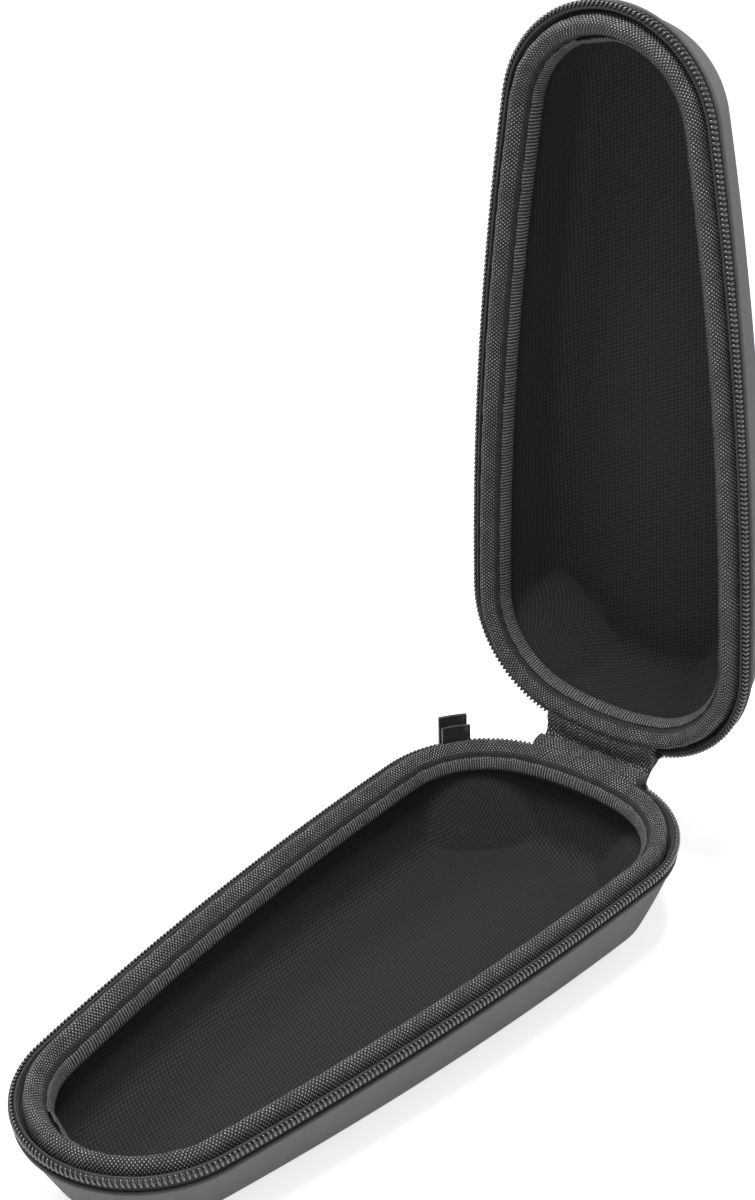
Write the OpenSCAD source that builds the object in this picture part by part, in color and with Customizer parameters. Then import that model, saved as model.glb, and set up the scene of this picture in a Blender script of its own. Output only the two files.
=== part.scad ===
// Clamshell carrying case, moulded in two halves that a coil zip closes all round.
// The base lies on its underside and the lid stands open on its cloth hinge.
// Lengths are in millimetres. Section sizes are measured inward from the zip line
// and down from the rim plane, where the two halves meet.

/* [Rim outline] */
// Length along the zip line, from the back edge to the nose
case_length = 200; // [185:1:225]
// Greatest width across the zip line
case_width = 86; // [80:1:92]
// Radius of the bowed back edge at the hinge
back_radius = 80; // [74:1:110]
// Radius of the two corners beside the hinge
corner_radius = 33; // [30:1:35]
// Radius of the long side edges
side_radius = 900; // [700:10:1400]
// Radius of the rounded narrow end
nose_radius = 30; // [28:1:33]

/* [Depth] */
// Depth of each half at the back
depth_back = 32; // [28:0.5:38]
// Depth of each half at the nose
depth_nose = 25; // [23:0.5:28]
// Lean of the walls from upright
wall_draft = 20; // [14:1:24]
// Radius where the wall turns into the floor
floor_radius = 12; // [9:0.5:14]
// Reach of the slanted corner facets along the floor
corner_cut = 16; // [12:0.5:20]

/* [Wall] */
// Thickness of the outer fabric
cover_thickness = 0.8; // [0.6:0.1:1]
// Thickness of the moulded foam with its outer fabric
wall_thickness = 3.4; // [2.6:0.1:4.2]
// Thickness of the lining
lining_thickness = 0.6; // [0.4:0.1:1]

/* [Rim] */
// Drop from the rim plane to the top of the wall
seat_drop = 6.5; // [6.3:0.1:8]
// Width of the padded lip, from the zip line to its inner edge
lip_width = 9.1; // [8.6:0.1:10.5]
// Drop of the lip's inner edge
lip_fall = 5.4; // [4.2:0.1:5.4]
// Drop of the lip's crown, half of the gap between closed lips
crown_drop = 0.3; // [0.2:0.05:0.6]
// Drop from the crown to the lip's outer shoulder
shoulder_fall = 2.8; // [2:0.1:3.4]
// Thickness of the woven band over the lip
band_thickness = 1; // [0.7:0.1:1.2]
// Width of the ribbed binding along the lip's inner edge
binding_width = 1.4; // [1.2:0.1:2.6]
// Thickness of the binding on its inner face
binding_thickness = 0.7; // [0.6:0.1:0.9]
// Height of the foam web under the lip
web_height = 4.2; // [3:0.1:6]

/* [Zip] */
// Thickness of the coil across the tape
coil_thickness = 1.6; // [1.4:0.1:2]
// Height of the coil
coil_height = 2.4; // [2:0.1:2.8]
// Drop from the rim plane to the tips of the coil
coil_drop = 2.2; // [1.9:0.1:2.4]
// Spacing of the coil's turns
tooth_pitch = 1.27; // [1.2:0.01:2]
// Width of one turn, less than the spacing
tooth_width = 0.75; // [0.5:0.05:0.9]
// Depth of the notch between two turns
notch_depth = 1; // [0.5:0.1:1.2]
// Gap of the sewn seam between the coil and its tape
seam_gap = 0.06; // [0.05:0.01:0.1]
// Thickness of the woven tape
tape_thickness = 0.6; // [0.4:0.1:0.8]
// Width of the groove between the tape and the band
groove_width = 1.1; // [1:0.1:1.3]
// Length of the stop at each end of the coil
stop_length = 1.5; // [1:0.1:2]

/* [Hinge] */
// Angle between the two rim planes as the case stands open
open_angle = 88; // [80:1:100]
// Distance of the hinge line behind the back edge
hinge_back = 2; // [1.6:0.1:2.6]
// Thickness of the hinge cloth where it lies on the wall
hinge_cloth = 0.9; // [0.6:0.1:1.2]
// Gap between each hinge cloth and the hinge line
hinge_gap = 0.1; // [0.05:0.01:0.2]

/* [Slider] */
// Direction round the corner at which the slider is parked, from straight back
slider_bearing = 54; // [50:1:58]
// Length of the slider along the zip
slider_length = 8; // [7:0.5:9]
// Length of the bridge that joins the slider's two plates
bridge_length = 3; // [2:0.5:4]
// Thickness of the slider's outer plate
slider_plate = 0.9; // [0.7:0.1:1]
// Height of the slider's outer plate above and below the rim plane
slider_reach = 5.4; // [5.2:0.1:5.7]
// Gap between the slider's outer plate and the coil
slider_play = 0.4; // [0.35:0.01:0.45]
// Gap between the slider and the tape, and between it and the band
slider_gap = 0.2; // [0.17:0.01:0.22]
// Radius of the bar that the pull hangs on
bar_radius = 0.55; // [0.45:0.05:0.65]
// Clearance between the bar and the pull's eye
eye_gap = 0.15; // [0.1:0.05:0.2]
// Wall of the pull's eye
eye_wall = 0.6; // [0.5:0.05:0.7]
// Length of the pull below the bar
pull_length = 22; // [16:0.5:24]
// Width of the pull
pull_width = 6.4; // [5.6:0.1:7]
// Thickness of the pull
pull_thickness = 1.4; // [1:0.1:1.6]

/* [Hidden] */

// Circle centres of the tangent arcs that make the right half of the zip line
back_centre = [0, -back_radius];
corner_x = case_width / 2 - corner_radius;
corner_centre = [corner_x, -back_radius + sqrt(pow(back_radius - corner_radius, 2) - pow(corner_x, 2))];
nose_centre = [0, nose_radius - case_length];
// The side arc's centre lies far across, where it touches the corner and the nose from outside
corner_to_nose = nose_centre - corner_centre;
span = norm(corner_to_nose);
reach_corner = side_radius - corner_radius;
reach_nose = side_radius - nose_radius;
along = (pow(reach_corner, 2) - pow(reach_nose, 2) + pow(span, 2)) / (2 * span);
across = sqrt(pow(reach_corner, 2) - pow(along, 2));
unit_span = corner_to_nose / span;
side_centre = corner_centre + along * unit_span + across * [unit_span[1], -unit_span[0]];

// Directions are angles turned clockwise from straight back
function bearing(v) = atan2(v[0], v[1]);
function heading(angle) = [sin(angle), cos(angle)];
back_end = bearing(corner_centre - back_centre);
corner_end = bearing(corner_centre - side_centre);
side_end = bearing(nose_centre - side_centre);

// One arc of the outline: centre, radius, first and last direction, steps
ARCS = [
    [back_centre, back_radius, 0, back_end, 2],
    [corner_centre, corner_radius, back_end, corner_end, 8],
    [side_centre, side_radius, corner_end, side_end, 6],
    [nose_centre, nose_radius, side_end, 180, 7]
];
function arc_point(arc, angle) = [arc[0] + arc[1] * heading(angle), heading(angle)];
RIGHT = [
    for (arc = ARCS) for (step = [0:arc[4] - 1])
        arc_point(arc, arc[2] + (arc[3] - arc[2]) * step / arc[4])
];
NOSE = [[[0, -case_length], [0, -1]]];
function flipped(pair) = [[-pair[0][0], pair[0][1]], [-pair[1][0], pair[1][1]]];
// The ring holds a point and an outward direction for each corner of the facetted outline
RING = concat(RIGHT, NOSE, [for (i = [len(RIGHT) - 1:-1:1]) flipped(RIGHT[i])]);
COUNT = len(RING);
CHAIN_FIRST = ARCS[0][4];
CHAIN_LAST = COUNT - CHAIN_FIRST;

// Section sizes that follow from the driving sizes
tape_out = coil_thickness / 2;
tape_in = tape_out + tape_thickness;
band_out = tape_in + groove_width;
bead_out = band_out + band_thickness;
bead_in = lip_width - binding_thickness;
binding_start = 1 - binding_width / (lip_width - band_out);
crown_at = 0.3;
lining_total = wall_thickness + lining_thickness;
web_foot = seat_drop + web_height;
fillet_down = depth_back - floor_radius;
fillet_in = (fillet_down - seat_drop) * tan(wall_draft) + floor_radius / cos(wall_draft);
FILLET_STEPS = 3;

// Depth of the crown at a share of the lip's width, 0 outside and 1 inside
function crown(share) = share < crown_at
    ? crown_drop + shoulder_fall * (1 - sqrt(1 - pow(1 - share / crown_at, 2)))
    : crown_drop + (lip_fall - crown_drop) * pow((share - crown_at) / (1 - crown_at), 1.3);
function band_top(share) = [band_out + share * (lip_width - band_out), crown(share)];
function bead_top(share) = [bead_out + share * (bead_in - bead_out), crown(share) + band_thickness];

// Level of a loft: distance inward, depth, and offset from the outer surface
function wall_level(down, off) = [(down - seat_drop) * tan(wall_draft) + off / cos(wall_draft), down, off];
function fillet_level(angle, off) = [
    fillet_in - (floor_radius - off) * cos(angle),
    fillet_down + (floor_radius - off) * sin(angle),
    off
];
function fillet(off) = [
    for (i = [0:FILLET_STEPS]) fillet_level(wall_draft + (90 - wall_draft) * i / FILLET_STEPS, off)
];
function wall(top, off) = let (foot = fillet_level(wall_draft, off)[1]) concat(
    [for (share = [0, 0.35, 0.7]) wall_level(top + (foot - top) * share, off)],
    fillet(off)
);
function reversed(list) = [for (i = [len(list) - 1:-1:0]) list[i]];

// Depth at a place along the case, where the floor rises evenly from back to nose
function floor_depth(y) = depth_back + (depth_nose - depth_back) * -y / case_length;
function deepened(down, y) = down <= seat_drop
    ? down
    : seat_drop + (down - seat_drop) * (floor_depth(y) - seat_drop) / (depth_back - seat_drop);

// The slanted facet at each back corner is a plane that leans in from the rim to the floor
facet_top = 1;
facet_start = seat_drop + 2;
facet_rise = depth_back - facet_start;
facet_run = corner_cut - facet_top;
facet_slope = norm([facet_rise, facet_run]);
facet_flat = heading(45);
facet_normal = [
    facet_flat[0] * facet_rise / facet_slope, facet_flat[1] * facet_rise / facet_slope,
    -facet_run / facet_slope
];
facet_foot = corner_centre + (corner_radius - facet_top) * facet_flat;
facet_reach = [facet_foot[0], facet_foot[1], -facet_start] * facet_normal;
// A point past the facet moves level with itself until it lies on it
function faceted(p, off) = let (
    side = p[0] < 0 ? -1 : 1,
    excess = p * [side * facet_normal[0], facet_normal[1], facet_normal[2]] - (facet_reach - off),
    move = excess > 0 ? excess * facet_slope / facet_rise : 0
) p - move * [side * facet_flat[0], facet_flat[1], 0];

// A point of the wall: ring corner, moved inward and down, cut by the facet, then deepened
function rim_xy(i, inward) = RING[i][0] - inward * RING[i][1];
function lip_point(i, level) = let (p = rim_xy(i, level[0])) [p[0], p[1], -level[1]];
function wall_point(i, level) = let (p = faceted(lip_point(i, level), level[2]))
    [p[0], p[1], -deepened(-p[2], p[1])];

// Two triangles of a quad. The level that stands higher sets the diagonal, so that pieces
// which share a surface share its triangles as well.
function leads(p, q) = p[1] < q[1] || (p[1] == q[1] && p[0] < q[0]);
function quad(ai, aj, bi, bj, lead) = lead
    ? [[ai, bj, bi], [ai, aj, bj]]
    : [[ai, aj, bi], [aj, bj, bi]];
// Skin between two levels that both go round the ring, given their places in the list
function hoop(levels, k, next) = [
    for (i = [0:COUNT - 1]) let (j = (i + 1) % COUNT)
        each quad(
            k * COUNT + i, k * COUNT + j, next * COUNT + i, next * COUNT + j,
            leads(levels[k], levels[next])
        )
];
// Skin of a bar whose section is repeated at each station along the ring, with its two ends.
// Every corner of the section can be seen from its first.
function bar_faces(section, stations) = let (size = len(section)) concat(
    [concat([0], [for (k = [size - 1:-1:1]) k])],
    [for (s = [0:stations - 2]) for (k = [0:size - 1]) let (m = (k + 1) % size)
        each quad(
            s * size + k, s * size + m, (s + 1) * size + k, (s + 1) * size + m,
            leads(section[k], section[m])
        )],
    [[for (k = [0:size - 1]) (stations - 1) * size + k]]
);

// Closed tray: levels run from the outer floor, over the rim, to the inner floor
module tray(levels) {
    last = len(levels) - 1;
    points = [for (level = levels) for (i = [0:COUNT - 1]) wall_point(i, level)];
    faces = concat(
        [[for (i = [COUNT - 1:-1:0]) i]],
        [for (k = [0:last - 1]) each hoop(levels, k, k + 1)],
        [[for (i = [0:COUNT - 1]) last * COUNT + i]]
    );
    polyhedron(points, faces, convexity = 6);
}

// Closed band round the whole rim with the given section
module rim_loop(section) {
    count = len(section);
    points = [for (level = section) for (i = [0:COUNT - 1]) lip_point(i, level)];
    polyhedron(points, [for (k = [0:count - 1]) each hoop(section, k, (k + 1) % count)], convexity = 6);
}

// Band with the given section along the zip only, from one end of the chain to the other
module chain_band(section) {
    points = [for (i = [CHAIN_FIRST:CHAIN_LAST]) for (level = section) lip_point(i, level)];
    polyhedron(points, bar_faces(section, CHAIN_LAST - CHAIN_FIRST + 1), convexity = 6);
}

BEAD = [for (share = [0, 0.12, crown_at, 0.5, binding_start, 0.85, 1]) bead_top(share)];

// Outer fabric of a half, from its floor up to the foot of the zip
module cover_half() {
    tray(concat(reversed(wall(seat_drop, 0)), wall(seat_drop, cover_thickness)));
}

// Moulded foam inside the fabric, with the bead that fills the lip
module core_half() {
    tray(concat(
        reversed(wall(seat_drop, cover_thickness)),
        [for (p = concat([[bead_out, seat_drop]], BEAD, [[bead_in, seat_drop]])) [p[0], p[1], 0]],
        wall(web_foot, wall_thickness)
    ));
}

// Cloth lining on the inside of the moulded half, up to the binding
module lining_half() {
    tray(concat(
        reversed(wall(web_foot, wall_thickness)),
        [[bead_in, seat_drop, 0], [bead_in + lining_thickness, seat_drop, 0]],
        wall(web_foot, lining_total)
    ));
}

// Woven band wrapped over the bead, from the groove to the binding
module woven_band() {
    shares = [0, 0.12, crown_at, 0.5, binding_start];
    rim_loop(concat(
        [[band_out, seat_drop]], [for (share = shares) band_top(share)],
        [for (share = reversed(shares)) bead_top(share)], [[bead_out, seat_drop]]
    ));
}

// Ribbed binding folded over the inner edge of the lip
module ribbed_binding() {
    shares = [binding_start, 0.85, 1];
    rim_loop(concat(
        [for (share = shares) band_top(share)], [[lip_width, seat_drop], [bead_in, seat_drop]],
        [for (share = reversed(shares)) bead_top(share)]
    ));
}

// Zip tape standing on the wall, with the coil along its free edge
module zip_tape() {
    tape_top = coil_drop + 0.3;
    chain_band([[tape_in, seat_drop], [tape_in, tape_top], [tape_out, tape_top], [tape_out, seat_drop]]);
}

// Place and direction on the true zip line, at a distance along it from the hinge end of the chain
function arc_length(arc) = arc[1] * (arc[3] - arc[2]) * PI / 180;
LENGTHS = [for (arc = ARCS) arc_length(arc)];
HALF_CHAIN = LENGTHS[1] + LENGTHS[2] + LENGTHS[3];
function on_arc(arc, distance) = arc_point(arc, arc[2] + distance / arc[1] * 180 / PI);
function on_chain(distance) = distance > HALF_CHAIN ? flipped(on_chain(2 * HALF_CHAIN - distance))
    : distance < LENGTHS[1] ? on_arc(ARCS[1], distance)
    : distance < LENGTHS[1] + LENGTHS[2] ? on_arc(ARCS[2], distance - LENGTHS[1])
    : on_arc(ARCS[3], distance - LENGTHS[1] - LENGTHS[2]);
function beside_chain(distance, inward) = let (at = on_chain(distance)) at[0] - inward * at[1];

// Coil of one half: a web along the tape with a turn standing out at every pitch
module zip_coil() {
    start = stop_length + 0.1;
    turns = floor(2 * (HALF_CHAIN - start) / tooth_pitch) - 1;
    first = HALF_CHAIN - (turns - 1) / 2 * tooth_pitch;
    web = notch_depth - coil_thickness / 2;
    half = tooth_width / 2;
    tips = -coil_thickness / 2;
    comb = [
        for (k = [0:turns - 1]) let (mid = first + k * tooth_pitch) each [
            beside_chain(mid - half, web), beside_chain(mid - half, tips),
            beside_chain(mid + half, tips), beside_chain(mid + half, web)
        ]
    ];
    seam = tape_out - seam_gap;
    back = [for (i = [CHAIN_LAST - 1:-1:CHAIN_FIRST + 1]) rim_xy(i, seam)];
    far = 2 * HALF_CHAIN - start;
    ends = [beside_chain(far, web), beside_chain(far, seam)];
    starts = [beside_chain(start, seam), beside_chain(start, web)];
    translate([0, 0, -coil_drop - coil_height])
        linear_extrude(coil_height)
            polygon(concat(comb, ends, back, starts));
}

// Moulded stop at each end of the coil
module coil_stops() {
    for (side = [1, -1]) {
        outer = [for (d = [0, stop_length]) beside_chain(d, -coil_thickness / 2)];
        inner = [for (d = [stop_length, 0]) beside_chain(d, tape_out - seam_gap)];
        stop = [for (p = concat(outer, inner)) [side * p[0], p[1]]];
        translate([0, 0, -coil_drop - coil_height])
            linear_extrude(coil_height)
                polygon(stop);
    }
}

// The base stands level on its underside, so its rim plane tips down towards the nose
tip = atan((depth_back - depth_nose) / case_length);
flat_cut = 0.2;
mid_depth = (depth_back + depth_nose) / 2;
module on_base() {
    translate([0, case_length / 2 * cos(tip) - mid_depth * sin(tip), -flat_cut])
        translate([0, 0, case_length / 2 * sin(tip) + mid_depth * cos(tip)])
            rotate([tip, 0, 0])
                children();
}
module on_lid() {
    on_base()
        translate([0, hinge_back, 0])
            rotate([-open_angle, 0, 0])
                translate([0, -hinge_back, 0])
                    mirror([0, 0, 1])
                        children();
}

// Cloth of the hinge on one half: it lies on the wall, stands up to the hinge line, and is
// folded in to the foot of the band. It spans the back edge, between the ends of the zip.
HINGE_SPAN = [-CHAIN_FIRST:CHAIN_FIRST];
function ring_index(i) = i < 0 ? i + COUNT : i;
// How far outside the zip line a plane square to the case's length lies, at a ring corner
function behind(i, y) = (y - RING[i][0][1]) / RING[i][1][1];
module hinge_cloth() {
    on_wall = wall(seat_drop, 0);
    on_cloth = wall(seat_drop, -hinge_cloth);
    line = hinge_back - hinge_gap;
    sections = [
        for (k = HINGE_SPAN) let (i = ring_index(k), out = -behind(i, line)) [
            wall_point(i, on_wall[0]), lip_point(i, [band_out, seat_drop]),
            lip_point(i, [band_out, crown(0)]), lip_point(i, [0.2, hinge_gap + 0.9]),
            lip_point(i, [out * 0.6, hinge_gap]), lip_point(i, [out, hinge_gap]),
            lip_point(i, [out, 2.2]), wall_point(i, on_cloth[0]), wall_point(i, on_cloth[1]),
            wall_point(i, on_wall[1])
        ]
    ];
    levels = [for (p = sections[CHAIN_FIRST]) [-p[1], -p[2]]];
    faces = bar_faces(levels, len(sections));
    polyhedron([for (section = sections) each section], faces, convexity = 6);
}

// The slider's place: X along the zip towards the hinge, Y outward, origin on the zip line
module at_slider() {
    on_base()
        translate([-corner_centre[0], corner_centre[1], 0])
            rotate([0, 0, slider_bearing])
                translate([0, corner_radius, 0])
                    children();
}
// Curved plate concentric with the corner, between two distances outward and two heights
module bent_plate(inside, outside, low, high, length) {
    translate([0, -corner_radius, low]) intersection() {
        difference() {
            cylinder(h = high - low, r = corner_radius + outside, $fn = 180);
            translate([0, 0, -1]) cylinder(h = high - low + 2, r = corner_radius + inside, $fn = 180);
        }
        translate([-length / 2, 0, -1]) cube([length, 2 * corner_radius, high - low + 2]);
    }
}
plate_near = tape_out + slider_play;
plate_far = plate_near + slider_plate;
// The tape and the band run straight between ring corners, so their middles lie further in
facet_sag = corner_radius * (1 - cos((corner_end - back_end) / ARCS[1][4] / 2));
tongue_near = -tape_in - facet_sag - slider_gap;
tongue_far = slider_gap - band_out;
tongue_height = seat_drop - 1.5;
bridge_half = coil_drop - 0.3;
flange_drop = coil_drop + coil_height + 0.2;
bar_out = plate_far + bar_radius + eye_gap + eye_wall + 0.25;
bar_low = -1.5;
bail_half = slider_length / 2 - 1.1;

// Slider: outer plate, inner plate in the groove, bridge between the coils, and lower flange
module slider_frame() {
    bent_plate(plate_near, plate_far, -slider_reach, slider_reach - 0.6, slider_length);
    bent_plate(tongue_far, tongue_near, -tongue_height, tongue_height - 1.5, slider_length);
    bent_plate(tongue_far, plate_far, -bridge_half, bridge_half, bridge_length);
    bent_plate(-tape_out + 0.5, plate_far, -slider_reach, -flange_drop, slider_length);
}

// Wire bail: a bar along the zip, held off the plate by an arm at each end
module wire_bail() {
    translate([-bail_half, bar_out, bar_low])
        rotate([0, 90, 0]) cylinder(h = 2 * bail_half, r = bar_radius, $fn = 32);
    for (side = [-1, 1])
        difference() {
            translate([side * bail_half, plate_near + 0.1, bar_low])
                rotate([-90, 0, 0])
                    cylinder(h = bar_out - plate_near - 0.1 + bar_radius, r = bar_radius, $fn = 32);
            bent_plate(plate_near, plate_far, bar_low - 2, bar_low + 2, slider_length);
        }
}

// Pull hanging plumb from the bar, with a round eye at the top and a hole near its end
hang = atan(tan(tip) * cos(slider_bearing));
eye_half = bail_half - bar_radius - 0.25;
module hanging_pull() {
    eye_radius = bar_radius + eye_gap + eye_wall;
    translate([0, bar_out, bar_low]) rotate([hang, 0, 0]) difference() {
        union() {
            translate([-eye_half, 0, 0])
                rotate([0, 90, 0]) cylinder(h = 2 * eye_half, r = eye_radius, $fn = 48);
            translate([-eye_half, -pull_thickness / 2, -4])
                cube([2 * eye_half, pull_thickness, 4]);
            translate([0, pull_thickness / 2, 0]) rotate([90, 0, 0])
                linear_extrude(pull_thickness) pull_outline();
        }
        translate([-pull_width, 0, 0])
            rotate([0, 90, 0]) cylinder(h = 2 * pull_width, r = bar_radius + eye_gap, $fn = 48);
    }
}
module pull_outline() {
    end = pull_width / 2;
    difference() {
        union() {
            translate([0, -pull_length + end]) circle(r = end, $fn = 60);
            polygon([
                [-eye_half, -1.2], [-eye_half, -3], [-end, -6], [-end, end - pull_length],
                [end, end - pull_length], [end, -6], [eye_half, -3], [eye_half, -1.2]
            ]);
        }
        translate([0, -pull_length + end]) circle(r = end - 1.7, $fn = 48);
    }
}

module level_underside() {
    difference() {
        children();
        translate([-case_width, -case_length, -10]) cube([2 * case_width, 2 * case_length, 10]);
    }
}

module base_cover() color("#4a4b4f") level_underside() on_base() cover_half();
module base_core() color("#26272a") on_base() core_half();
module base_lining() color("#17181a") on_base() lining_half();
module base_rim_band() color("#3a3b3e") on_base() woven_band();
module base_binding() color("#1d1e20") on_base() ribbed_binding();
module base_zip_tape() color("#161718") on_base() zip_tape();
module base_zip_coil() color("#0f1011") on_base() zip_coil();
module base_coil_stops() color("#0f1011") on_base() coil_stops();
module base_hinge_cloth() color("#303135") on_base() hinge_cloth();
module lid_cover() color("#4a4b4f") on_lid() cover_half();
module lid_core() color("#26272a") on_lid() core_half();
module lid_lining() color("#17181a") on_lid() lining_half();
module lid_rim_band() color("#3a3b3e") on_lid() woven_band();
module lid_binding() color("#1d1e20") on_lid() ribbed_binding();
module lid_zip_tape() color("#161718") on_lid() zip_tape();
module lid_zip_coil() color("#0f1011") on_lid() zip_coil();
module lid_coil_stops() color("#0f1011") on_lid() coil_stops();
module lid_hinge_cloth() color("#303135") on_lid() hinge_cloth();
module slider_body() color("#55565a") at_slider() slider_frame();
module slider_bail() color("#55565a") at_slider() wire_bail();
module pull_tab() color("#1a1b1c") at_slider() hanging_pull();

base_cover();
base_core();
base_lining();
base_rim_band();
base_binding();
base_zip_tape();
base_zip_coil();
base_coil_stops();
base_hinge_cloth();
lid_cover();
lid_core();
lid_lining();
lid_rim_band();
lid_binding();
lid_zip_tape();
lid_zip_coil();
lid_coil_stops();
lid_hinge_cloth();
slider_body();
slider_bail();
pull_tab();
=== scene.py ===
import math

import bmesh
import bpy
import numpy as np
from mathutils import Matrix, Vector


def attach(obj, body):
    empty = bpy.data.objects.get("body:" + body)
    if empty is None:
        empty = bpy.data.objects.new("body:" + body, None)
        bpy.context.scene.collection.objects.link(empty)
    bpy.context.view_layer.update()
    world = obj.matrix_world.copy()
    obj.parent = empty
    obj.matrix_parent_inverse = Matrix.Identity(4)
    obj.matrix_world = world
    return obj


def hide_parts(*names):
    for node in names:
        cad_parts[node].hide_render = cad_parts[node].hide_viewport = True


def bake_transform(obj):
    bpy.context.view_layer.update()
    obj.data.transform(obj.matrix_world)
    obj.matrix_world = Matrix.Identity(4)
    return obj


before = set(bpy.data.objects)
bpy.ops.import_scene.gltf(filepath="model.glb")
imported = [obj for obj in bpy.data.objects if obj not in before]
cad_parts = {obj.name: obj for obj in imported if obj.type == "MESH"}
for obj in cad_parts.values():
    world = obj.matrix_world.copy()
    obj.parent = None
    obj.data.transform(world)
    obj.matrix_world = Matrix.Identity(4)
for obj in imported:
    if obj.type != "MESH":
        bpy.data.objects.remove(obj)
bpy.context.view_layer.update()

bl_info = {
    "name": "Hard-shell zip case",
    "version": (1, 0, 0),
    "blender": (4, 5, 0),
    "location": "3D View > Sidebar > Zip Case",
    "description": "Dresses the open zip case in woven cloth, ribbed binding, lining and a wound coil",
    "category": "Object",
}

# Sizes of the case in millimetres, as in the part's source
LENGTH, WIDTH = 200.0, 86.0
BACK_RADIUS, CORNER_RADIUS, SIDE_RADIUS, NOSE_RADIUS = 80.0, 33.0, 900.0, 30.0
DEPTH_BACK, DEPTH_NOSE, FLAT_CUT = 32.0, 25.0, 0.2
DRAFT, FLOOR_RADIUS, CORNER_CUT = math.radians(20), 12.0, 16.0
SEAT, LIP_WIDTH, LIP_FALL, CROWN_DROP, SHOULDER_FALL = 6.5, 9.1, 5.4, 0.3, 2.8
COVER, WALL, LINED = 0.8, 3.4, 4.0
BAND_OUT = 2.5
COIL_DROP, COIL_HEIGHT, COIL_THICKNESS = 2.2, 2.4, 1.6
HINGE_BACK, HINGE_REACH, OPEN_ANGLE = 2.0, 17.0, math.radians(88)
FACET_START = SEAT + 2
FILLET_DOWN = DEPTH_BACK - FLOOR_RADIUS
FILLET_IN = (FILLET_DOWN - SEAT) * math.tan(DRAFT) + FLOOR_RADIUS / math.cos(DRAFT)
TIP = math.atan((DEPTH_BACK - DEPTH_NOSE) / LENGTH)

# The line along the middle of the floor on which a tray closes, from the nose to the back
FLOOR_LINE = (-168.0, -48.0)
# Where painted shade darkens the band's colour in the seam by the binding, measured across its own map
SEAM_FROM, SEAM_TO = 10.0, 11.0
# Steps taken round the rim by each kind of piece, and the coil's steps in one turn
TRAY_STEPS, BAND_STEPS, BINDING_STEPS, TAPE_STEPS, TURN_STEPS = 420, 720, 900, 520, 12
# Stitches of the seam stand this far apart
STITCH = 2.9
# Width and height of the picture in pixels
PICTURE = (755, 1200)


def outline_arcs():
    """Centre, radius, first direction and length of the back, corner, side and nose arcs.
    Each arc touches the next, so the centres lie apart by the difference of their radii."""
    back = np.array([0.0, -BACK_RADIUS])
    corner_x = WIDTH / 2 - CORNER_RADIUS
    drop = math.sqrt((BACK_RADIUS - CORNER_RADIUS) ** 2 - corner_x**2)
    corner = np.array([corner_x, -BACK_RADIUS + drop])
    nose = np.array([0.0, NOSE_RADIUS - LENGTH])
    gap = nose - corner
    span = np.linalg.norm(gap)
    to_corner, to_nose = SIDE_RADIUS - CORNER_RADIUS, SIDE_RADIUS - NOSE_RADIUS
    along = (to_corner**2 - to_nose**2 + span**2) / (2 * span)
    across = math.sqrt(to_corner**2 - along**2)
    unit = gap / span
    side = corner + along * unit + across * np.array([unit[1], -unit[0]])
    turns = [0.0] + [math.atan2(v[0], v[1]) for v in (corner - back, corner - side, nose - side)] + [math.pi]
    centres = np.array([back, corner, side, nose])
    radii = np.array([BACK_RADIUS, CORNER_RADIUS, SIDE_RADIUS, NOSE_RADIUS])
    return centres, radii, np.array(turns[:4]), radii * np.diff(turns)


CENTRES, RADII, TURNS, SPANS = outline_arcs()
STARTS = np.r_[0.0, np.cumsum(SPANS)]
HALF_ROUND = STARTS[-1]
CHAIN_START = SPANS[0]
CORNER_CENTRE = CENTRES[1]


def rim_line(distance):
    """Point and outward direction on the zip line at a distance clockwise from the middle of the back:
    centre + radius * (sin, cos) of the direction, which grows by distance / radius. The left half
    mirrors the right."""
    distance = np.asarray(distance, float) % (2 * HALF_ROUND)
    left = distance > HALF_ROUND
    way = np.where(left, 2 * HALF_ROUND - distance, distance)
    arc = np.clip(np.searchsorted(STARTS, way, side="right") - 1, 0, 3)
    turn = TURNS[arc] + (way - STARTS[arc]) / RADII[arc]
    outward = np.stack([np.sin(turn), np.cos(turn)], -1)
    point = CENTRES[arc] + RADII[arc][..., None] * outward
    flip = np.where(left, -1.0, 1.0)[..., None] * np.array([1.0, 0.0]) + np.array([0.0, 1.0])
    return point * flip, outward * flip


def carried(distance, inward, depth):
    """A profile carried along the zip line: the line's point less inward times its outward direction,
    at minus depth."""
    point, outward = rim_line(distance)
    inward, depth = np.broadcast_arrays(inward, depth)
    flat = point[:, None] - inward[..., None] * outward[:, None]
    return np.concatenate([flat, -depth[..., None] + np.zeros(flat.shape[:2] + (1,))], -1)


def in_place(points, half):
    """Millimetres in the rim plane's frame to metres in the row frame. The lid is mirrored in the rim
    plane and turned back about the hinge line; then both tip by the slope of the underside and rise to
    stand on it."""
    x, y, z = np.moveaxis(np.asarray(points, float), -1, 0)
    if half == "lid":
        c, s = math.cos(OPEN_ANGLE), math.sin(OPEN_ANGLE)
        y, z = HINGE_BACK + (y - HINGE_BACK) * c - z * s, -(y - HINGE_BACK) * s - z * c
    c, s, mid = math.cos(TIP), math.sin(TIP), (DEPTH_BACK + DEPTH_NOSE) / 2
    up = LENGTH / 2 * s + mid * c - FLAT_CUT
    return np.stack([x, y * c - z * s + LENGTH / 2 * c - mid * s, y * s + z * c + up], -1) / 1000


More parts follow.
